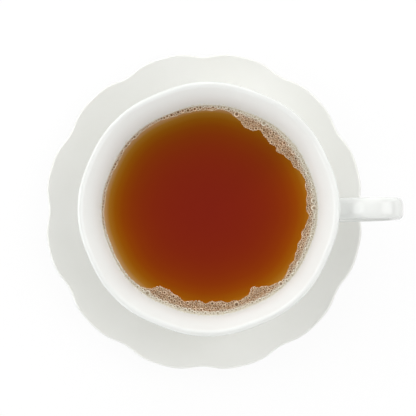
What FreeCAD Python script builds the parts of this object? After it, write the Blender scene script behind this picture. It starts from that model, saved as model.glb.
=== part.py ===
import FreeCAD, Part
import math
import os

import Sketcher

# Cup of black tea on its saucer: a fluted, slightly oval porcelain cup with a
# loop handle, standing in the well of a saucer with a scalloped rim.  Froth lies
# along the edge of the tea.
# Millimetres, +Z up, +X from the cup's axis towards the handle.  The origin is
# under the middle of the whole model, on the surface that the saucer stands on.
# The cup, the tea and the froth are drawn about the cup's own axis, with the
# cup's foot at height 0, and are placed on the saucer at the end.

# The driving dimensions.  Each is one cell of the sheet "Sizes".
SIZES = {
    # saucer: a dished plate of even thickness on a foot ring
    "saucer_radius": 72.3,
    "brim_height": 20.0,
    "saucer_wall": 3.2,
    "dish_radius": 96.0,
    "brim_round": 0.8,
    "saucer_foot_radius": 38.0,
    "saucer_foot_width": 4.0,
    "scallop_count": 12,
    "scallop_depth": 1.8,
    "scallop_sharpness": 2.4,
    # the well that keeps the cup near the middle of the saucer
    "well_floor": 6.0,
    "well_depth": 1.4,
    "well_slope": 2.2,
    "well_clearance": 1.0,
    # bowl of the cup, by its inside: the insets count inwards from the mouth's
    # radius, and the drops down from the rim
    "cup_height": 56.0,
    "mouth_radius": 50.6,
    "mouth_oval": 0.8,
    "throat_inset": 6.4,
    "throat_drop": 6.2,
    "belly_inset": 7.0,
    "belly_drop": 18.0,
    "heel_inset": 9.6,
    "heel_drop": 37.0,
    "floor_bend_radius": 27.0,
    "floor_radius": 17.0,
    "cup_floor": 7.0,
    "cup_wall": 2.8,
    "cup_base": 3.4,
    "lip_round": 1.25,
    "flute_count": 8,
    "flute_depth": 0.55,
    "flute_sharpness": 1.6,
    # foot ring of the cup
    "cup_foot_radius": 24.6,
    "cup_foot_width": 3.4,
    "cup_foot_flare": 1.6,
    "foot_round": 0.8,
    # handle: a flat strap bent into a loop.  The reaches count outwards from the
    # rim, the drops down from it, and the heights up from the foot
    "handle_width": 8.8,
    "handle_thickness": 4.8,
    "handle_top_drop": 10.0,
    "handle_crest_drop": 1.5,
    "handle_crest_reach": 12.0,
    "handle_shoulder_drop": 3.0,
    "handle_reach": 25.6,
    "handle_waist_drop": 17.0,
    "handle_bend_height": 26.0,
    "handle_tail_height": 20.5,
    "handle_foot_height": 17.5,
    "handle_root_growth": 0.2,
    "handle_root_length": 8.0,
    "handle_root_round": 2.0,
    "handle_embed": 5.0,
    # tea, and the froth that floats along its edge
    "tea_drop": 11.0,
    "froth_height": 1.1,
    "froth_edge_width": 0.9,
    "froth_start": -138.0,
    "froth_end": 152.0,
    # where the cup stands on the saucer, from the saucer's axis
    "cup_shift_x": 4.6,
    "cup_shift_y": -1.7,
    # the origin, from the saucer's axis, as centre_model works it out
    "origin_x": 0.0,
    "origin_y": 0.0,
}

# The froth's drifts along the edge of the tea: the middle and half span of each,
# in degrees from the handle, and the width in mm that it adds at its middle.
FROTH_DRIFTS = (
    (0, 38, 3.2),
    (40, 20, 5.8),
    (63, 18, 4.8),
    (97, 24, 1.2),
    (243, 16, 5.6),
    (270, 24, 5.4),
    (300, 18, 5.2),
    (333, 22, 3.4),
)

WELL_RADIUS = ("Sizes.cup_foot_radius + Sizes.well_clearance"
               " + sqrt(Sizes.cup_shift_x ^ 2 + Sizes.cup_shift_y ^ 2)")

POINTS_PER_SCALLOP = 16
POINTS_PER_FLUTE = 8
BOWL_SECTIONS = 11
HANDLE_SECTIONS = 15
STRAP_POINTS = 32
STRAP_SQUARENESS = 3.2
SHORE_POINTS = 59
MARGIN = 5.0
NEAR = 0.01

Vector = FreeCAD.Vector
UP = Vector(0, 0, 1)
doc = FreeCAD.newDocument("cup_of_tea")


# ------------------------------------------------------------ document

def make_sheet():
    table = doc.addObject("Spreadsheet::Sheet", "Sizes")
    for row, (alias, value) in enumerate(SIZES.items(), start=1):
        table.set("A%d" % row, alias.replace("_", " "))
        table.set("B%d" % row, str(value))
        table.setAlias("B%d" % row, alias)
    doc.recompute()
    return table


def size(alias):
    return float(sheet.get(alias))


def add(kind, name, **values):
    item = doc.addObject(kind, name)
    for key, value in values.items():
        setattr(item, key, value)
    return item


def bind(item, expressions):
    for path, expression in expressions.items():
        item.setExpression(path, expression)
    return item


def add_shape(name, shape):
    item = doc.addObject("Part::Feature", name)
    item.Shape = shape
    return item


def add_loft(name, wires):
    sections = [add_shape("%s_%02d" % (name, number), wire) for number, wire in enumerate(wires)]
    return add("Part::Loft", name, Sections=sections, Solid=True, Ruled=False)


def add_fillet(name, base, roundings):
    """Round the base's edges: each rounding is a test for edges and their radius."""
    doc.recompute()
    edges = []
    for number, edge in enumerate(base.Shape.Edges, start=1):
        edges += [(number, radius, radius) for accepts, radius in roundings if accepts(edge.BoundBox)]
    return add("Part::Fillet", name, Base=base, Edges=edges)


# ------------------------------------------------------------ curves

def notch(angle, count, sharpness):
    """1 in the notches, one of them at angle 0, and 0 on the lobes between."""
    return ((1 + math.cos(count * angle)) / 2) ** sharpness


def polar(radius, angle, level):
    return Vector(radius * math.cos(angle), radius * math.sin(angle), level)


def closed_wire(points):
    curve = Part.BSplineCurve()
    curve.interpolate(Points=points, PeriodicFlag=True)
    return Part.Wire(curve.toShape())


def lobed_wire(radius_at, count, level):
    """Closed curve round the Z axis, with its seam opposite the handle."""
    angles = [math.pi + 2 * math.pi * number / count for number in range(count)]
    return closed_wire([polar(radius_at(angle), angle, level) for angle in angles])


def smooth_curve(poles):
    curve = Part.BSplineCurve()
    curve.buildFromPoles(poles, False, 3)
    return curve


def stations(curve, count):
    """Even steps along the curve: the share of its length, the point, the direction."""
    length = curve.length()
    found = []
    for number in range(count):
        share = number / (count - 1)
        place = curve.parameterAtDistance(length * share, curve.FirstParameter)
        found.append((share, curve.value(place), curve.tangent(place)[0]))
    return found


# ------------------------------------------------------------ saucer

def well_radius():
    shift = math.hypot(size("cup_shift_x"), size("cup_shift_y"))
    return size("cup_foot_radius") + size("well_clearance") + shift


def dish_centre(start, end, radius):
    """Centre, above the chord, of the arc that joins the well's edge to the brim."""
    chord = end - start
    rise = math.sqrt(radius ** 2 - (chord.Length / 2) ** 2)
    return (start + end) / 2 + Vector(-chord.y, chord.x, 0).normalize() * rise


def dish_point(centre, radius, distance):
    drop = math.sqrt(radius ** 2 - (distance - centre.x) ** 2)
    return Vector(distance, centre.y - drop, 0)


def dish_arc(centre, radius, first, last):
    turns = [math.atan2(point.y - centre.y, point.x - centre.x) for point in (first, last)]
    return Part.ArcOfCircle(Part.Circle(centre, UP, radius), *turns)


def add_saucer_profile(body):
    """Half section of the turned saucer: radius along X, height along Y."""
    plane = next(item for item in body.Origin.OriginFeatures if item.Role == "XZ_Plane")
    sketch = body.newObject("Sketcher::SketchObject", "saucer_profile")
    sketch.AttachmentSupport = [(plane, "")]
    sketch.MapMode = "FlatFace"

    floor = size("well_floor")
    under = floor - size("saucer_wall")
    foot_out = size("saucer_foot_radius")
    foot_in = foot_out - size("saucer_foot_width")
    blank = size("saucer_radius") + MARGIN
    top_radius = size("dish_radius")
    low_radius = top_radius + size("saucer_wall")
    brim = Vector(size("saucer_radius"), size("brim_height"), 0)
    step_foot = Vector(well_radius(), floor, 0)
    step_top = Vector(well_radius() + size("well_slope"), floor + size("well_depth"), 0)
    centre = dish_centre(step_top, brim, top_radius)
    low_start = dish_point(centre, low_radius, foot_out)
    low_end = dish_point(centre, low_radius, blank)
    top_end = dish_point(centre, top_radius, blank)
    axis_top = Vector(0, floor, 0)
    axis_low = Vector(0, under, 0)
    ring_top = Vector(foot_in, under, 0)
    ring_inner = Vector(foot_in, 0, 0)
    ring_outer = Vector(foot_out, 0, 0)

    axis_line, under_line, inner_line, foot_line, outer_line = (
        sketch.addGeometry(Part.LineSegment(first, last)) for first, last in (
            (axis_top, axis_low), (axis_low, ring_top), (ring_top, ring_inner),
            (ring_inner, ring_outer), (ring_outer, low_start)))
    low_arc = sketch.addGeometry(dish_arc(centre, low_radius, low_start, low_end))
    edge_line = sketch.addGeometry(Part.LineSegment(low_end, top_end))
    top_arc = sketch.addGeometry(dish_arc(centre, top_radius, step_top, top_end))
    step_line = sketch.addGeometry(Part.LineSegment(step_top, step_foot))
    floor_line = sketch.addGeometry(Part.LineSegment(step_foot, axis_top))
    brim_point = sketch.addGeometry(Part.Point(brim), True)

    relations = [("Coincident", line, 2, line + 1, 1) for line in range(axis_line, edge_line)]
    relations += [
        ("Coincident", edge_line, 2, top_arc, 2),
        ("Coincident", top_arc, 1, step_line, 1),
        ("Coincident", step_line, 2, floor_line, 1),
        ("Coincident", floor_line, 2, axis_line, 1),
        ("Coincident", low_arc, 3, top_arc, 3),
        ("PointOnObject", axis_line, 1, -2),
        ("PointOnObject", foot_line, 1, -1),
        ("PointOnObject", brim_point, 1, top_arc),
    ]
    relations += [("Horizontal", line) for line in (under_line, foot_line, floor_line)]
    relations += [("Vertical", line) for line in (axis_line, inner_line, outer_line, edge_line)]
    for relation in relations:
        sketch.addConstraint(Sketcher.Constraint(*relation))

    measures = (
        ("floor_level", "DistanceY", (axis_line, 1), floor, "Sizes.well_floor"),
        ("under_level", "DistanceY", (axis_line, 2), under, "Sizes.well_floor - Sizes.saucer_wall"),
        ("foot_inside", "DistanceX", (inner_line, 1), foot_in,
         "Sizes.saucer_foot_radius - Sizes.saucer_foot_width"),
        ("foot_outside", "DistanceX", (outer_line, 1), foot_out, "Sizes.saucer_foot_radius"),
        ("blank_edge", "DistanceX", (edge_line, 1), blank, "Sizes.saucer_radius + %s" % MARGIN),
        ("brim_radius", "DistanceX", (brim_point, 1), brim.x, "Sizes.saucer_radius"),
        ("brim_level", "DistanceY", (brim_point, 1), brim.y, "Sizes.brim_height"),
        ("well_radius", "DistanceX", (step_line, 2), step_foot.x, WELL_RADIUS),
        ("step_radius", "DistanceX", (step_line, 1), step_top.x, WELL_RADIUS + " + Sizes.well_slope"),
        ("step_level", "DistanceY", (step_line, 1), step_top.y,
         "Sizes.well_floor + Sizes.well_depth"),
        ("top_radius", "Radius", (top_arc,), top_radius, "Sizes.dish_radius"),
        ("low_radius", "Radius", (low_arc,), low_radius, "Sizes.dish_radius + Sizes.saucer_wall"),
    )
    for name, kind, place, value, expression in measures:
        number = sketch.addConstraint(Sketcher.Constraint(kind, *place, value))
        sketch.renameConstraint(number, name)
        sketch.setExpression("Constraints.%s" % name, expression)
    return sketch


def scalloped_outline():
    def radius_at(angle):
        dip = notch(angle, size("scallop_count"), size("scallop_sharpness"))
        return size("saucer_radius") - size("scallop_depth") * dip

    return lobed_wire(radius_at, int(size("scallop_count")) * POINTS_PER_SCALLOP, -MARGIN)


def add_saucer():
    """Turned dish, trimmed to the scalloped outline, with rounded brim and foot."""
    body = doc.addObject("PartDesign::Body", "saucer_turning")
    profile = add_saucer_profile(body)
    doc.recompute()
    turned = body.newObject("PartDesign::Revolution", "saucer_turned")
    turned.Profile = profile
    turned.ReferenceAxis = (profile, ["V_Axis"])
    turned.Angle = 360
    outline = add_shape("saucer_outline", scalloped_outline())
    prism = add("Part::Extrusion", "saucer_prism", Base=outline, DirMode="Custom", Dir=UP, Solid=True)
    bind(prism, {"LengthFwd": "Sizes.brim_height + %s" % (3 * MARGIN)})
    blank = add("Part::Common", "saucer_blank", Base=body, Tool=prism)

    notch_radius = size("saucer_radius") - size("scallop_depth")
    foot_out = size("saucer_foot_radius")
    foot_in = foot_out - size("saucer_foot_width")

    def on_brim(box):
        return box.XMax > notch_radius - NEAR and box.XMin < NEAR - notch_radius

    def on_foot(box):
        return box.ZMax < NEAR and foot_in - NEAR < box.XMax < foot_out + NEAR

    return add_fillet("saucer", blank, [
        (on_brim, min(size("brim_round"), 0.45 * size("saucer_wall"))),
        (on_foot, min(size("foot_round"), 0.4 * size("saucer_foot_width"))),
    ])


# ------------------------------------------------------------ bowl of the cup

def bowl_curve():
    """Half section of the cup's inside, from its floor up to its mouth."""
    top = size("cup_height")
    mouth = size("mouth_radius")
    return smooth_curve([
        Vector(size("floor_radius"), 0, size("cup_floor")),
        Vector(size("floor_bend_radius"), 0, size("cup_floor")),
        Vector(mouth - size("heel_inset"), 0, top - size("heel_drop")),
        Vector(mouth - size("belly_inset"), 0, top - size("belly_drop")),
        Vector(mouth - size("throat_inset"), 0, top - size("throat_drop")),
        Vector(mouth, 0, top),
    ])


def rise_at(level):
    """Share by which the oval and the flutes have grown, from the floor to the mouth."""
    floor = size("cup_floor")
    return max(0.0, (level - floor) / (size("cup_height") - floor))


def inside_radius(level):
    """Mean radius of the cup's inside at a height."""
    nearest = min(stations(bowl_curve(), 200), key=lambda station: abs(station[1].z - level))
    return nearest[1].x


def fluted_ring(radius, level):
    """Level ring of the bowl, with the oval and the flutes of its height."""
    rise = rise_at(level)
    oval = size("mouth_oval") * rise
    depth = size("flute_depth") * rise
    count = size("flute_count")
    sharpness = size("flute_sharpness")

    def radius_at(angle):
        dip = notch(angle - math.pi / count, count, sharpness)
        return radius + oval * math.cos(2 * angle) - depth * (dip - 0.5)

    return lobed_wire(radius_at, int(count) * POINTS_PER_FLUTE, level)


def bowl_rings(thickness_at):
    """Radius and height of the bowl's rings, moved out square to its inside."""
    rings = []
    for share, point, along in stations(bowl_curve(), BOWL_SECTIONS):
        moved = point + Vector(along.z, 0, -along.x) * thickness_at(share)
        rings.append((moved.x, moved.z))
    return rings


def add_bowl_outside():
    wall = size("cup_wall")
    base = size("cup_base")
    rings = bowl_rings(lambda share: wall + (base - wall) * (1 - share) ** 3)
    (below, low), (radius, level) = rings[-2:]
    top = size("cup_height")
    rings.append((radius + (radius - below) * (top - level) / (level - low), top))
    return add_loft("bowl_outside", [fluted_ring(*ring) for ring in rings])


def add_hollow():
    return add_loft("hollow", [fluted_ring(*ring) for ring in bowl_rings(lambda share: 0.0)])


# ------------------------------------------------------------ handle and foot of the cup

def handle_line():
    """Middle line of the strap, from inside the upper wall to inside the lower wall."""
    rim = size("cup_height")
    mouth = size("mouth_radius") + size("mouth_oval") + size("cup_wall")
    crest = mouth + size("handle_crest_reach")
    far = mouth + size("handle_reach")
    top = rim - size("handle_top_drop")
    foot = size("handle_foot_height")

    def embedded(level):
        middle = inside_radius(level) + size("mouth_oval") * rise_at(level) + size("cup_wall") / 2
        return Vector(middle - size("handle_embed"), 0, level)

    return smooth_curve([
        embedded(top),
        Vector(mouth + 2, 0, top),
        Vector(crest, 0, rim - size("handle_crest_drop")),
        Vector(far - 2, 0, rim - size("handle_shoulder_drop")),
        Vector(far, 0, rim - size("handle_waist_drop")),
        Vector(crest + 4, 0, size("handle_bend_height")),
        Vector(mouth - 4, 0, size("handle_tail_height")),
        embedded(foot),
    ])


def strap_wire(point, along, width, thickness):
    """Rounded oblong across the strap, square to its direction."""
    side = Vector(0, 1, 0)
    normal = along.cross(side)
    power = 2 / STRAP_SQUARENESS
    points = []
    for number in range(STRAP_POINTS):
        angle = 2 * math.pi * number / STRAP_POINTS
        across = math.copysign(abs(math.cos(angle)) ** power, math.cos(angle))
        through = math.copysign(abs(math.sin(angle)) ** power, math.sin(angle))
        points.append(point + side * (across * width / 2) + normal * (through * thickness / 2))
    return closed_wire(points)


def add_handle():
    line = handle_line()
    length = line.length()
    wires = []
    for share, point, along in stations(line, HANDLE_SECTIONS):
        run = min(share, 1 - share) * length
        growth = 1 + size("handle_root_growth") * math.exp(-(run / size("handle_root_length")) ** 2)
        wires.append(strap_wire(point, along, size("handle_width") * growth,
                                size("handle_thickness") * growth))
    return add_loft("handle", wires)


def add_cup_foot():
    """Flared ring under the bowl, filled up to the bowl's floor."""
    return bind(add("Part::Cone", "cup_foot"), {
        "Radius1": "Sizes.cup_foot_radius",
        "Radius2": "Sizes.cup_foot_radius - Sizes.cup_foot_flare",
        "Height": "Sizes.cup_floor - Sizes.cup_base / 3",
    })


def add_cup_recess():
    """The space inside the foot ring, up to the underside of the bowl."""
    return bind(add("Part::Cone", "cup_recess"), {
        "Radius1": "Sizes.cup_foot_radius - Sizes.cup_foot_width",
        "Radius2": "Sizes.cup_foot_radius - Sizes.cup_foot_width - Sizes.cup_foot_flare",
        "Height": "Sizes.cup_floor - Sizes.cup_base",
    })


def add_cup(hollow):
    top = size("cup_height")
    mouth = size("mouth_radius") + size("cup_wall")
    strap = size("handle_width")
    foot_out = size("cup_foot_radius")
    foot_in = foot_out - size("cup_foot_width")

    def on_root(box):
        return foot_out < box.XMin and box.XMax < mouth and box.YLength < 2 * strap

    def on_lip(box):
        return box.ZMin > top - NEAR

    def on_foot(box):
        return box.ZMax < NEAR and foot_in - NEAR < box.XMax < foot_out + NEAR

    bare = add("Part::Fuse", "bowl_and_handle", Base=add_bowl_outside(), Tool=add_handle())
    joined = add_fillet("bowl_and_roots", bare, [(on_root, size("handle_root_round"))])
    footed = add("Part::Fuse", "cup_footed", Base=joined, Tool=add_cup_foot())
    recessed = add("Part::Cut", "cup_recessed", Base=footed, Tool=add_cup_recess())
    blank = add("Part::Cut", "cup_blank", Base=recessed, Tool=hollow)
    return add_fillet("cup", blank, [
        (on_lip, min(size("lip_round"), 0.46 * size("cup_wall"))),
        (on_foot, min(size("foot_round"), 0.4 * size("cup_foot_width"))),
    ])


# ------------------------------------------------------------ tea and froth

def add_tea(hollow):
    """The cup's hollow, up to the tea's surface."""
    below = bind(add("Part::Cylinder", "below_surface"), {
        "Radius": "Sizes.mouth_radius + %s" % MARGIN,
        "Height": "Sizes.cup_height - Sizes.tea_drop",
    })
    return add("Part::Common", "tea", Base=hollow, Tool=below)


def froth_width(degrees):
    """How far the froth reaches in from the edge of the tea."""
    width = size("froth_edge_width")
    for middle, span, extra in FROTH_DRIFTS:
        away = (degrees - middle + 180) % 360 - 180
        width += extra * math.exp(-(1.5 * away / span) ** 2)
    return width


def froth_outline(level):
    """Crescent along the tea's edge: its shore, and an arc outside the cup."""
    edge = inside_radius(level)
    oval = size("mouth_oval") * rise_at(level)
    beyond = size("mouth_radius") + MARGIN
    first = size("froth_start")
    last = size("froth_end")
    shore = []
    for number in range(SHORE_POINTS):
        degrees = first + (last - first) * number / (SHORE_POINTS - 1)
        angle = math.radians(degrees)
        radius = edge + oval * math.cos(2 * angle) - froth_width(degrees)
        shore.append(polar(radius, angle, level))
    curve = Part.BSplineCurve()
    curve.interpolate(Points=shore)
    start, middle, end = (
        polar(beyond, math.radians(degrees), level) for degrees in (first, (first + last) / 2, last))
    return Part.Wire([
        curve.toShape(),
        Part.makeLine(shore[-1], end),
        Part.Arc(end, middle, start).toShape(),
        Part.makeLine(start, shore[0]),
    ])


def add_froth(hollow):
    """Thin layer on the tea, inside the cup's hollow."""
    outline = add_shape("froth_outline", froth_outline(size("cup_height") - size("tea_drop")))
    layer = add("Part::Extrusion", "froth_layer", Base=outline, DirMode="Custom", Dir=UP, Solid=True)
    bind(layer, {"LengthFwd": "Sizes.froth_height"})
    return add("Part::Common", "froth", Base=layer, Tool=hollow)


# ------------------------------------------------------------ assembly

def place(item, along_x, along_y, level):
    bind(item, {
        "Placement.Base.x": along_x,
        "Placement.Base.y": along_y,
        "Placement.Base.z": level,
    })


def centre_model(items):
    """Put the origin under the middle of the model's bounding box."""
    doc.recompute()
    boxes = [item.Shape.optimalBoundingBox(False, False) for item in items]
    middle_x = (min(box.XMin for box in boxes) + max(box.XMax for box in boxes)) / 2
    middle_y = (min(box.YMin for box in boxes) + max(box.YMax for box in boxes)) / 2
    sheet.set("origin_x", "%.3f" % middle_x)
    sheet.set("origin_y", "%.3f" % middle_y)
    doc.recompute()


def check(items):
    for item in doc.Objects:
        if "Invalid" in item.State or "Error" in item.State:
            raise RuntimeError("%s failed: %s" % (item.Label, item.State))
    for item in items:
        shape = item.Shape
        if shape.isNull() or not shape.isValid() or len(shape.Solids) != 1 or shape.Volume <= 0:
            raise RuntimeError("%s is not one valid solid" % item.Label)


sheet = make_sheet()
hollow_loft = add_hollow()
saucer = add_saucer()
cup = add_cup(hollow_loft)
tea = add_tea(hollow_loft)
froth = add_froth(hollow_loft)
place(saucer, "-Sizes.origin_x", "-Sizes.origin_y", "0")
for piece in (cup, tea, froth):
    place(piece, "Sizes.cup_shift_x - Sizes.origin_x", "Sizes.cup_shift_y - Sizes.origin_y",
          "Sizes.well_floor")
parts = [saucer, cup, tea, froth]
centre_model(parts)
check(parts)
os.makedirs("parts", exist_ok=True)
for part in parts:
    part.Shape.exportStep("parts/%s.step" % part.Label)
    print("%s: %.0f cubic mm" % (part.Label, part.Shape.Volume))
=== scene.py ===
"""Looks for the cup of tea: fluted porcelain cup, scalloped saucer, black tea and the froth on it."""

import math
import random

import bpy
import numpy as np
from mathutils import Matrix, Vector
from mathutils.bvhtree import BVHTree


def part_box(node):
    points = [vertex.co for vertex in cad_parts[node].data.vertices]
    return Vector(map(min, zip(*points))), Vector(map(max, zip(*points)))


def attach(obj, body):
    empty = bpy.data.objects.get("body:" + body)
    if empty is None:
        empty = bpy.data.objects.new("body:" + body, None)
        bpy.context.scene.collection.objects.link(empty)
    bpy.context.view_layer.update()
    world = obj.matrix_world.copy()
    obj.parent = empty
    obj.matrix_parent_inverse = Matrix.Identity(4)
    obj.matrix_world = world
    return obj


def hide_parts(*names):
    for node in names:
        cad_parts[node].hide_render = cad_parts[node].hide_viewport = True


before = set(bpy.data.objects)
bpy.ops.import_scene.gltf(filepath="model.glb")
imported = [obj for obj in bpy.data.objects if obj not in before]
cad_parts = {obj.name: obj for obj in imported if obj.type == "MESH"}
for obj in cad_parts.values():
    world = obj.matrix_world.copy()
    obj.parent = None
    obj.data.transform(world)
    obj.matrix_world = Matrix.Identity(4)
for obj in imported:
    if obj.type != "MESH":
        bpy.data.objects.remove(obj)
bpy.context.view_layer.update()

MM = 0.001
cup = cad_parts["cup"]
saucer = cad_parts["saucer"]

# Heights and axes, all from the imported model.
CUP_LOW, CUP_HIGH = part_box("cup")
TEA_LOW, TEA_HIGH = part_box("tea")
SAUCER_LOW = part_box("saucer")[0]
CUP_X = (TEA_LOW.x + TEA_HIGH.x) / 2
CUP_Y = (TEA_LOW.y + TEA_HIGH.y) / 2
RIM_Z = CUP_HIGH.z
TEA_Z = TEA_HIGH.z

wall_tree = BVHTree.FromPolygons(
    [v.co.copy() for v in cup.data.vertices],
    [tuple(p.vertices) for p in cup.data.polygons])


def wall_radius(angle, height):
    """Distance from the cup's axis to the inside of its wall."""
    start = Vector((CUP_X, CUP_Y, height))
    hit = wall_tree.ray_cast(start, Vector((math.cos(angle), math.sin(angle), 0)))
    return hit[3]


def smooth_step(value, low, high):
    share = min(max((value - low) / (high - low), 0), 1)
    return share * share * (3 - 2 * share)


# ---------------------------------------------------------------- meshes

def mesh_object(name, points, faces, smooth=True):
    mesh = bpy.data.meshes.new(name)
    mesh.from_pydata([tuple(p) for p in points], [], faces)
    mesh.validate()
    mesh.polygons.foreach_set("use_smooth", [smooth] * len(mesh.polygons))
    mesh.update()
    piece = bpy.data.objects.new(name, mesh)
    bpy.context.scene.collection.objects.link(piece)
    return piece


def point_values(piece, name, values):
    attribute = piece.data.attributes.new(name, "FLOAT", "POINT")
    attribute.data.foreach_set("value", np.array(values, np.float32))


# ---------------------------------------------------------------- materials

class Nodes:
    """Short ways to add and join the nodes of one material."""

    def __init__(self, name):
        self.material = bpy.data.materials.new(name)
        self.material.use_nodes = True
        self.tree = self.material.node_tree
        self.shader = self.tree.nodes["Principled BSDF"]
        self.output = self.tree.nodes["Material Output"]

    def add(self, kind, **settings):
        node = self.tree.nodes.new(kind)
        for key, value in settings.items():
            setattr(node, key, value)
        return node

    def join(self, source, target):
        self.tree.links.new(source, target)

    def math(self, operation, first, second=None, clamp=False):
        node = self.add("ShaderNodeMath", operation=operation, use_clamp=clamp)
        for socket, value in zip(node.inputs, (first, second)):
            if value is None:
                continue
            if isinstance(value, (int, float)):
                socket.default_value = value
            else:
                self.join(value, socket)
        return node.outputs[0]

    def position(self):
        return self.add("ShaderNodeTexCoord").outputs["Object"]

    def noise(self, scale, detail=2.0, roughness=0.5, vector=None):
        node = self.add("ShaderNodeTexNoise")
        node.inputs["Scale"].default_value = scale
        node.inputs["Detail"].default_value = detail
        node.inputs["Roughness"].default_value = roughness
        self.join(vector or self.position(), node.inputs["Vector"])
        return node.outputs["Fac"]

    def ramp(self, value, stops):
        node = self.add("ShaderNodeValToRGB")
        elements = node.color_ramp.elements
        while len(elements) < len(stops):
            elements.new(0.5)
        for element, (place, colour) in zip(elements, stops):
            element.position = place
            element.color = (*colour, 1)
        self.join(value, node.inputs["Fac"])
        return node.outputs["Color"]

    def mix(self, share, first, second, blend="MIX"):
        node = self.add("ShaderNodeMix", data_type="RGBA", blend_type=blend)
        for key, value in (("Factor", share), ("A", first), ("B", second)):
            socket = node.inputs[key]
            if isinstance(value, (int, float)):
                socket.default_value = value
            elif isinstance(value, tuple):
                socket.default_value = (*value, 1)
            else:
                self.join(value, socket)
        return next(s for s in node.outputs if s.type == "RGBA")

    def bump(self, height, strength, distance):
        node = self.add("ShaderNodeBump")
        node.inputs["Strength"].default_value = strength
        node.inputs["Distance"].default_value = distance
        self.join(height, node.inputs["Height"])
        return node.outputs["Normal"]


def linear(red, green, blue):
    """Scene colour of a screen colour given from 0 to 255."""
    def one(value):
        value /= 255
        return value / 12.92 if value <= 0.04045 else ((value + 0.055) / 1.055) ** 2.4
    return one(red), one(green), one(blue)


WATER_IOR = 1.33
GLAZE_IOR = 1.5
FOOT_HEIGHT = 1.5 * MM


def porcelain_material(name, foot_z, dull, bright):
    """White glaze with a faint cloud in it, and bare biscuit on the foot."""
    nodes = Nodes(name)
    shader = nodes.shader
    cloud = nodes.noise(38, 3)
    glaze = nodes.ramp(cloud, [(0.3, linear(*dull)), (0.7, linear(*bright))])
    biscuit = nodes.ramp(nodes.noise(900, 4), [
        (0.3, linear(205, 200, 190)),
        (0.7, linear(221, 217, 208))])
    height = nodes.add("ShaderNodeSeparateXYZ")
    nodes.join(nodes.position(), height.inputs[0])
    above = nodes.math("SUBTRACT", height.outputs["Z"], foot_z)
    bare = nodes.math("SUBTRACT", 1.0, nodes.math("DIVIDE", above, FOOT_HEIGHT), clamp=True)
    bare = nodes.math("MINIMUM", nodes.math("MULTIPLY", bare, 3.0), 1.0)
    nodes.join(nodes.mix(bare, glaze, biscuit), shader.inputs["Base Color"])
    rough = nodes.math("ADD", nodes.math("MULTIPLY", cloud, 0.05), 0.07)
    nodes.join(nodes.math("ADD", rough, nodes.math("MULTIPLY", bare, 0.5)), shader.inputs["Roughness"])
    shader.inputs["IOR"].default_value = GLAZE_IOR
    nodes.join(nodes.bump(nodes.noise(45, 1), 0.05, 0.0003), shader.inputs["Normal"])
    return nodes.material


# Light goes through tea over a white cup: the edge's colour fades inwards and the deep tea's
# grows in. Screen colours from 0 to 255, and for each of red, green and blue the millimetres
# over which the edge fades, those over which the deep grows in, and the bend of both: 1 is
# even, less has a longer tail, more a shorter one.
TEA_EDGE = (205, 195, 170)
TEA_DEEP = (122, 32, 19)
BLUE_FADES = (2.0, 15.0, 1.3)
# The front run is the tea as lit; the back run is the same tea browner and darker, as painted shade.
LIT_FADES = ((5.5, 5.5, 0.75), (4.6, 4.6, 0.75), BLUE_FADES)
SHADED_FADES = ((2.6, 2.6, 1.0), (3.8, 3.8, 0.7), BLUE_FADES)
TEA_SPAN = 50
TEA_STOPS = 13


def tea_colour(inwards, fades):
    """Colour of the tea at a distance from the wall, in millimetres."""
    screen = []
    for edge, deep, (fade, growth, bend) in zip(TEA_EDGE, TEA_DEEP, fades):
        left = math.exp(-(inwards / fade) ** bend)
        grown = 1 - math.exp(-(inwards / growth) ** bend)
        screen.append(edge * left + deep * grown)
    return linear(*screen)


def tea_colours(fades):
    """Stops of a colour run from the wall inwards, closer together near the wall."""
    stops = []
    for number in range(TEA_STOPS):
        place = (number / (TEA_STOPS - 1)) ** 2
        stops.append((place, tea_colour(place * TEA_SPAN, fades)))
    return stops


def tea_material():
    """Amber over the shallow edge, red-brown over the deep; browner and darker on the back side, as
    painted shade.
    """
    nodes = Nodes("tea")
    shader = nodes.shader
    depth = nodes.add("ShaderNodeAttribute", attribute_name="inwards").outputs["Fac"]
    # the back value is the share of painted shade
    back = nodes.add("ShaderNodeAttribute", attribute_name="back").outputs["Fac"]
    amber = nodes.ramp(depth, tea_colours(LIT_FADES))
    brown = nodes.ramp(depth, tea_colours(SHADED_FADES))
    nodes.join(nodes.mix(back, amber, brown), shader.inputs["Base Color"])
    shader.inputs["Roughness"].default_value = 0.02
    shader.inputs["IOR"].default_value = WATER_IOR
    shader.inputs["Specular IOR Level"].default_value = 0.3
    return nodes.material


def froth_material():
    """Pale rings round darker tops, paler where the froth thins out on the wall; how far that reaches
    holds painted light and shade.
    """
    nodes = Nodes("froth")
    shader = nodes.shader
    low = nodes.add("ShaderNodeAttribute", attribute_name="lowness").outputs["Fac"]
    tone = nodes.add("ShaderNodeAttribute", attribute_name="tone").outputs["Fac"]
    wall = nodes.add("ShaderNodeAttribute", attribute_name="paleness").outputs["Fac"]
    skin = nodes.ramp(low, [
        (0.0, linear(100, 66, 38)),
        (0.3, linear(136, 98, 62)),
        (0.62, linear(206, 176, 142)),
        (1.0, linear(242, 222, 196))])
    tint = nodes.ramp(tone, [
        (0.0, (0.70, 0.64, 0.56)),
        (0.4, (0.95, 0.90, 0.84)),
        (0.75, (1.05, 1.00, 0.98)),
        (1.0, (1.10, 1.10, 1.16))])
    wet = nodes.mix(1.0, skin, tint, "MULTIPLY")
    # paler froth where the paleness value is high, which holds painted light beside the handle and
    # painted shade at the back
    thin = nodes.ramp(low, [
        (0.0, linear(182, 168, 142)),
        (0.6, linear(226, 221, 205)),
        (1.0, linear(236, 233, 222))])
    nodes.join(nodes.mix(wall, wet, thin), shader.inputs["Base Color"])
    shader.inputs["Roughness"].default_value = 0.12
    shader.inputs["IOR"].default_value = WATER_IOR
    return nodes.material


def wear(piece, material):
    if not piece.data.materials:
        piece.data.materials.append(material)
    else:
        for place in range(len(piece.data.materials)):
            piece.data.materials[place] = material


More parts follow.
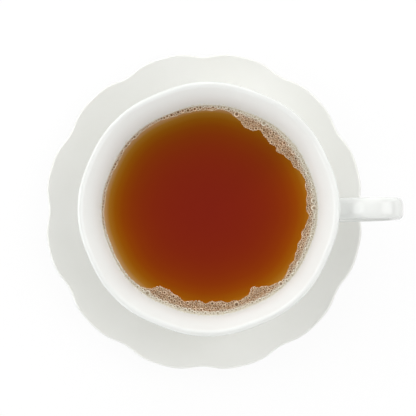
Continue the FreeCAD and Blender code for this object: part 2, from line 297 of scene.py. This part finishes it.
wear(cup, porcelain_material("cup_porcelain", CUP_LOW.z, (231, 232, 229), (234, 236, 233)))
wear(saucer, porcelain_material("saucer_porcelain", SAUCER_LOW.z, (237, 237, 232), (240, 240, 236)))

# ---------------------------------------------------------------- tea

ROUND = 256
UNDERSIDE_DROP = 2 * MM
MENISCUS_RISE = 0.9 * MM
MENISCUS_REACH = 1.3 * MM


def surface_height(inwards):
    """Height of the tea's surface at a distance from the wall."""
    return TEA_Z + MENISCUS_RISE * math.exp(-max(inwards, 0) / MENISCUS_REACH)


def painted_shade_share(angle):
    """Share of painted shade on the tea: 1 over the back of the cup, 0 over its front and beside the
    handle.
    """
    degrees = (math.degrees(angle) + 90) % 360 - 90
    return smooth_step(degrees, 5, 48) * (1 - smooth_step(degrees, 100, 205))


def make_tea():
    steps = [-0.3, 0, 0.2, 0.45, 0.75, 1.1, 1.6, 2.3, 3.2, 4.5, 6.5, 9, 12, 16, 20, 25, 30, 35, 39]
    points = []
    depth = []
    back = []
    edge = [wall_radius(math.tau * i / ROUND, surface_height(0)) for i in range(ROUND)]
    for inwards in steps:
        height = surface_height(inwards * MM)
        for i, radius in enumerate(edge):
            angle = math.tau * i / ROUND
            reach = radius - inwards * MM
            points.append((CUP_X + reach * math.cos(angle), CUP_Y + reach * math.sin(angle), height))
            depth.append(max(inwards, 0) / TEA_SPAN)
            back.append(painted_shade_share(angle))
    faces = []
    for ring in range(len(steps) - 1):
        for i in range(ROUND):
            j = (i + 1) % ROUND
            outer, inner = ring * ROUND, (ring + 1) * ROUND
            faces.append((outer + i, outer + j, inner + j, inner + i))
    points.append((CUP_X, CUP_Y, TEA_Z))
    depth.append(44 / TEA_SPAN)
    back.append(0.5)
    last = (len(steps) - 1) * ROUND
    for i in range(ROUND):
        faces.append((last + i, last + (i + 1) % ROUND, len(points) - 1))
    # underside, just below and inside the wall, so that the piece is closed
    under = len(points)
    for i, radius in enumerate(edge):
        angle = math.tau * i / ROUND
        reach = radius + 0.1 * MM
        points.append((CUP_X + reach * math.cos(angle), CUP_Y + reach * math.sin(angle),
                       TEA_Z - UNDERSIDE_DROP))
    points.append((CUP_X, CUP_Y, TEA_Z - UNDERSIDE_DROP))
    depth += [0] * (len(points) - under)
    back += [0] * (len(points) - under)
    for i in range(ROUND):
        j = (i + 1) % ROUND
        faces.append((i, under + i, under + j, j))
        faces.append((under + j, under + i, len(points) - 1))
    piece = mesh_object("tea_surface", points, faces)
    point_values(piece, "inwards", depth)
    point_values(piece, "back", back)
    wear(piece, tea_material())
    return piece


tea = make_tea()
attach(tea, "root")
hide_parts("tea")

# ---------------------------------------------------------------- froth

# Drifts of froth along the wall: direction and half width in degrees, extra width in millimetres.
DRIFTS = ((0, 38, 3.2), (40, 20, 5.8), (63, 18, 4.8), (97, 24, 1.2), (150, 45, 0.4),
          (243, 16, 5.4), (270, 24, 5.0), (300, 18, 4.8), (333, 22, 2.5))
BARE_FROM, BARE_TO = 186, 222
STRING_FROM = 112
EDGE_WIDTH = 0.9
FILM_STEPS = 720
wall_at_tea = [wall_radius(math.radians(i), TEA_Z + 0.3 * MM) for i in range(361)]


def wall_at(degrees):
    degrees %= 360
    low = int(degrees)
    share = degrees - low
    return wall_at_tea[low] * (1 - share) + wall_at_tea[low + 1] * share


def froth_width(degrees):
    """Width of the froth along the wall, in metres."""
    total = EDGE_WIDTH
    for middle, span, extra in DRIFTS:
        away = (degrees - middle + 180) % 360 - 180
        total += extra * math.exp(-(1.5 * away / span) ** 2)
    wave = math.radians(degrees)
    total *= (1 + 0.10 * math.sin(17 * wave) + 0.07 * math.sin(29 * wave + 1)
              + 0.05 * math.sin(53 * wave + 2))
    return total * MM


def in_string(degrees):
    """Along the back the froth is only a broken string of bubbles."""
    return STRING_FROM < degrees % 360 <= BARE_FROM


def is_bare(degrees):
    wave = math.radians(degrees)
    gap = in_string(degrees) and math.sin(31 * wave) + math.sin(19 * wave + 1) < -0.1
    return gap or BARE_FROM < degrees % 360 < BARE_TO


# Bubbles: smallest and largest radius in millimetres, tries, and how near two may come,
# as a share of the sum of their radii.
BUBBLE_SIZES = (
    (0.9, 1.15, 10, 1.0),
    (0.62, 0.82, 160, 0.94),
    (0.42, 0.6, 24000, 0.88),
    (0.28, 0.4, 30000, 0.84),
    (0.18, 0.26, 40000, 0.8),
)
CELL = 1.4 * MM
CLINGING_TRIES = 4000
CLINGING_RISE = 1.3 * MM
# brighter clusters: direction in degrees and distance from the wall in millimetres
BRIGHT_CLUSTERS = ((243, 7.5), (297, 7.0), (345, 4.0), (42, 4.5))
BRIGHT_REACH = 2.4 * MM


class Bubbles:
    """Bubbles that hardly cross: x, y, foot, radius, tone and paleness of each."""

    def __init__(self):
        self.grid = {}
        self.found = []

    def is_free(self, x, y, radius, nearness):
        column, row = int(x // CELL), int(y // CELL)
        for i in range(column - 2, column + 3):
            for j in range(row - 2, row + 3):
                for other_x, other_y, other in self.grid.get((i, j), ()):
                    if math.hypot(x - other_x, y - other_y) < (radius + other) * nearness:
                        return False
        return True

    def add(self, degrees, reach, foot, radius, tone, paleness, nearness):
        x = CUP_X + reach * math.cos(math.radians(degrees))
        y = CUP_Y + reach * math.sin(math.radians(degrees))
        if self.is_free(x, y, radius, nearness):
            self.grid.setdefault((int(x // CELL), int(y // CELL)), []).append((x, y, radius))
            self.found.append((x, y, foot, radius, tone, paleness))


def paleness_at(degrees, inwards):
    """1 on the wall, 0 further in, where the froth thins out; wider beside the handle as painted light,
    narrower at the back as painted shade.
    """
    # painted light: beside the handle the pale edge reaches further; painted shade: at the back it
    # stays narrow
    beside = math.exp(-(((degrees - 15 + 180) % 360 - 180) / 45) ** 2)
    painted_shade_behind = smooth_step(degrees % 360, 60, 100) * (1 - smooth_step(degrees % 360, 186, 200))
    return 1 - smooth_step(inwards, 0.3 * (1 - painted_shade_behind) * MM, (2.0 + 1.4 * beside - 1.3 * painted_shade_behind) * MM)


def cloud_at(x, y):
    """Slow change of tone over the froth, from -1 to 1."""
    waves = ((2.9, 20, 0.0), (2.3, 75, 1.3), (3.3, 130, 4.0), (1.9, 165, 2.2))
    total = 0
    for length, heading, phase in waves:
        along = x * math.cos(math.radians(heading)) + y * math.sin(math.radians(heading))
        total += math.sin(math.tau * along / (length * MM) + phase)
    return total / len(waves)


def tone_at(rng, degrees, inwards):
    """0 for a dark bubble, 1 for a bright one; bright ones gather in a few clusters, and along the back
    all stay dark as painted shade.
    """
    reach = wall_at(degrees) - inwards
    angle = math.radians(degrees)
    tone = rng.random() * 0.75 + 0.3 * cloud_at(reach * math.cos(angle), reach * math.sin(angle))
    for middle, depth in BRIGHT_CLUSTERS:
        along = math.radians((degrees - middle + 180) % 360 - 180) * reach
        away = math.hypot(along, inwards - depth * MM)
        tone += 0.5 * math.exp(-(away / BRIGHT_REACH) ** 2)
    # along the back the bubbles are kept dark: painted shade
    return min(max(tone, 0), 0.35 if in_string(degrees) else 1)


def place_bubbles(rng):
    """The froth's bubbles, the large ones first, and small ones that cling to the wall."""
    bubbles = Bubbles()
    for smallest, largest, tries, nearness in BUBBLE_SIZES:
        for _ in range(tries):
            degrees = rng.uniform(0, 360)
            if is_bare(degrees) and rng.random() < 0.97:
                continue
            radius = rng.uniform(smallest, largest) * MM
            width = froth_width(degrees)
            if 2 * radius > width * 1.15:
                continue
            inwards = radius * 0.8 + rng.random() ** 1.1 * max(width - 1.8 * radius, 0)
            paleness = 0.85 * paleness_at(degrees, inwards) + 0.2 * rng.random()
            bubbles.add(degrees, wall_at(degrees) - inwards, surface_height(inwards), radius,
                        tone_at(rng, degrees, inwards), paleness, nearness)
    for _ in range(CLINGING_TRIES):
        degrees = rng.uniform(0, 360)
        if is_bare(degrees) and rng.random() < 0.9:
            continue
        radius = rng.uniform(0.16, 0.34) * MM
        foot = surface_height(0) + rng.random() ** 1.5 * CLINGING_RISE
        reach = wall_radius(math.radians(degrees), foot) - 0.3 * radius
        bubbles.add(degrees, reach, foot, radius, rng.random(), 1.0, 1.0)
    return bubbles.found


# profile of a bubble from its foot up: share of the radius, share of the height, lowness
LARGE_PROFILE = (
    (1.10, -0.3, 0.6),
    (1.0, 0.05, 0.9),
    (0.86, 0.45, 1.0),
    (0.64, 0.76, 0.5),
    (0.42, 0.91, 0.0),
)
SMALL_PROFILE = ((1.10, -0.3, 0.9), (0.9, 0.4, 1.0), (0.5, 0.85, 0.35))


class Surface:
    """Points, faces and point values of a mesh that grows piece by piece."""

    def __init__(self):
        self.points = []
        self.faces = []
        self.values = {"lowness": [], "tone": [], "paleness": []}

    def point(self, place, lowness, tone, paleness):
        self.points.append(place)
        self.values["lowness"].append(lowness)
        self.values["tone"].append(tone)
        self.values["paleness"].append(paleness)

    def ring_faces(self, first, around, rings):
        for ring in range(rings - 1):
            start = first + ring * around
            for i in range(around):
                j = (i + 1) % around
                self.faces.append((start + i, start + j, start + around + j, start + around + i))


def add_bubble(surface, rng, x, y, foot, radius, tone, paleness):
    around = 8 if radius < 0.3 * MM else 10 if radius < 0.45 * MM else 14 if radius < 0.95 * MM else 22
    profile = SMALL_PROFILE if radius < 0.45 * MM else LARGE_PROFILE
    tall = radius * rng.uniform(0.45, 0.7)
    first = len(surface.points)
    turn = rng.random()
    for share, up, lowness in profile:
        for i in range(around):
            angle = math.tau * (i + turn) / around
            surface.point((x + radius * share * math.cos(angle), y + radius * share * math.sin(angle),
                           foot + tall * up), lowness, tone, paleness)
    surface.point((x, y, foot + tall), 0.0, tone, paleness)
    surface.ring_faces(first, around, len(profile))
    last = first + (len(profile) - 1) * around
    for i in range(around):
        surface.faces.append((last + i, last + (i + 1) % around, first + len(profile) * around))


def add_film(surface, rng):
    """Wet film that joins the bubbles of a drift; it ends in a rounded edge on the tea."""
    across = [number / 12 for number in range(13)]
    first = len(surface.points)
    for step in range(FILM_STEPS):
        degrees = 360 * step / FILM_STEPS
        width = froth_width(degrees) - 0.35 * MM
        if is_bare(degrees) or in_string(degrees):
            width = 0.2 * MM
        angle = math.radians(degrees)
        for share in across:
            inwards = width * share
            height = surface_height(inwards) + (0.08 if share < 1 else -0.1) * MM
            height += rng.uniform(-0.04, 0.04) * MM
            reach = wall_radius(angle, height) - inwards + 0.1 * MM
            place = (CUP_X + reach * math.cos(angle), CUP_Y + reach * math.sin(angle), height)
            lowness = rng.uniform(0.1, 0.55)
            tone = rng.uniform(0.2, 0.6)
            surface.point(place, lowness, tone, 0.9 * paleness_at(degrees, inwards))
    count = len(across)
    for step in range(FILM_STEPS):
        row = first + step * count
        following = first + (step + 1) % FILM_STEPS * count
        for number in range(count - 1):
            surface.faces.append((row + number, following + number,
                                  following + number + 1, row + number + 1))


def make_froth():
    rng = random.Random(5)
    bubbles = place_bubbles(rng)
    surface = Surface()
    add_film(surface, rng)
    for bubble in bubbles:
        add_bubble(surface, rng, *bubble)
    piece = mesh_object("froth_bubbles", surface.points, surface.faces)
    for name, values in surface.values.items():
        point_values(piece, name, values)
    wear(piece, froth_material())
    return piece


froth = make_froth()
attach(froth, "root")
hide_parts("froth")

# ---------------------------------------------------------------- stage, light and camera


FLOOR_REACH = 3.0
FLOOR_GLOW = 1.2
SHADOW_REACH = 0.15
SHADOW_SHARE = 0.25
SOFTBOX_WIDTH = 0.8
SOFTBOX_DISTANCE = 1.0


def make_floor():
    reach = FLOOR_REACH
    corners = [(-reach, -reach, 0), (reach, -reach, 0), (reach, reach, 0), (-reach, reach, 0)]
    piece = mesh_object("floor", corners, [(0, 1, 2, 3)], False)
    nodes = Nodes("floor")
    nodes.tree.nodes.remove(nodes.shader)
    plain = nodes.add("ShaderNodeBsdfDiffuse")
    grain = nodes.ramp(nodes.noise(12, 3), [(0.3, (0.39, 0.39, 0.39)), (0.7, (0.41, 0.41, 0.41))])
    nodes.join(grain, plain.inputs["Color"])
    bright = nodes.add("ShaderNodeEmission")
    bright.inputs["Strength"].default_value = FLOOR_GLOW
    path = nodes.add("ShaderNodeLightPath")
    seen = nodes.math("ADD", path.outputs["Is Camera Ray"], path.outputs["Is Glossy Ray"])
    seen = nodes.math("ADD", seen, path.outputs["Is Transmission Ray"], clamp=True)
    # near the saucer a quarter of the floor stays plain, so that its shadow shows
    away = nodes.add("ShaderNodeVectorMath", operation="LENGTH")
    nodes.join(nodes.position(), away.inputs[0])
    share = nodes.math("SUBTRACT", away.outputs["Value"], SHADOW_REACH, clamp=True)
    share = nodes.math("ADD", share, 1 - SHADOW_SHARE, clamp=True)
    mixer = nodes.add("ShaderNodeMixShader")
    nodes.join(nodes.math("MULTIPLY", seen, share), mixer.inputs["Fac"])
    nodes.join(plain.outputs[0], mixer.inputs[1])
    nodes.join(bright.outputs[0], mixer.inputs[2])
    nodes.join(mixer.outputs[0], nodes.output.inputs["Surface"])
    wear(piece, nodes.material)


def add_softbox(name, azimuth, elevation, power, aim):
    data = bpy.data.lights.new(name, "AREA")
    data.shape = "DISK"
    data.size = SOFTBOX_WIDTH
    data.energy = power
    lamp = bpy.data.objects.new(name, data)
    flat = SOFTBOX_DISTANCE * math.cos(math.radians(elevation))
    place = aim + Vector((
        flat * math.cos(math.radians(azimuth)),
        flat * math.sin(math.radians(azimuth)),
        SOFTBOX_DISTANCE * math.sin(math.radians(elevation))))
    lamp.location = place
    lamp.rotation_euler = (aim - place).to_track_quat("-Z", "Y").to_euler()
    bpy.context.scene.collection.objects.link(lamp)


def make_world(level):
    """White walls all round, dark above, where the camera is."""
    world = bpy.data.worlds.new("studio")
    world.use_nodes = True
    tree = world.node_tree
    background = tree.nodes["Background"]
    background.inputs["Strength"].default_value = level
    direction = tree.nodes.new("ShaderNodeTexCoord")
    height = tree.nodes.new("ShaderNodeSeparateXYZ")
    ramp = tree.nodes.new("ShaderNodeValToRGB")
    tree.links.new(direction.outputs["Generated"], height.inputs[0])
    tree.links.new(height.outputs["Z"], ramp.inputs["Fac"])
    tree.links.new(ramp.outputs["Color"], background.inputs["Color"])
    ramp.color_ramp.elements[0].position = 0.20
    ramp.color_ramp.elements[0].color = (1, 1, 1, 1)
    ramp.color_ramp.elements[1].position = 0.32
    ramp.color_ramp.elements[1].color = (0, 0, 0, 1)
    bpy.context.scene.world = world


# From the point aimed at to the camera, and from the rim's middle to the point aimed at.
CAMERA_SIDE = Vector((0.022, -0.024, 0.400))
CAMERA_AIM = Vector((0.0002, 0, 0))
CAMERA_LENS = 85


def make_camera(aim):
    data = bpy.data.cameras.new("camera")
    data.lens = CAMERA_LENS
    data.sensor_width = 36
    data.clip_start = 0.01
    camera = bpy.data.objects.new("camera", data)
    eye = aim + CAMERA_SIDE
    ahead = (aim - eye).normalized()
    right = ahead.cross(Vector((0, 1, 0))).normalized()
    up = right.cross(ahead)
    turn = Matrix((right, up, -ahead)).transposed()
    camera.matrix_world = Matrix.Translation(eye) @ turn.to_4x4()
    bpy.context.scene.collection.objects.link(camera)
    bpy.context.scene.camera = camera


make_floor()
WORLD_LEVEL = 1.2
LOW = 25
HIGH = 55
KEY_POWER = 4.3
HALF = KEY_POWER / 2
QUARTER = KEY_POWER / 4
# two key lights, at the handle's side and opposite it, and weaker ones all round;
# name, azimuth and elevation in degrees, power in watts
LIGHTS = (
    ("high_right_light", 0, HIGH, KEY_POWER),
    ("back_right_light", 45, LOW, HALF),
    ("back_light", 90, LOW, HALF),
    ("high_back_light", 90, HIGH, QUARTER),
    ("back_left_light", 135, LOW, HALF),
    ("high_left_light", 135, HIGH, QUARTER),
    ("left_light", 180, LOW, KEY_POWER),
    ("front_left_light", 225, LOW, QUARTER),
    ("front_light", 270, LOW, HALF),
    ("front_right_light", 315, LOW, QUARTER),
)
make_world(WORLD_LEVEL)
rim_middle = Vector((CUP_X, CUP_Y, RIM_Z))
for name, azimuth, elevation, power in LIGHTS:
    add_softbox(name, azimuth, elevation, power, rim_middle)
make_camera(rim_middle + CAMERA_AIM)
bpy.context.scene.view_settings.view_transform = "Standard"
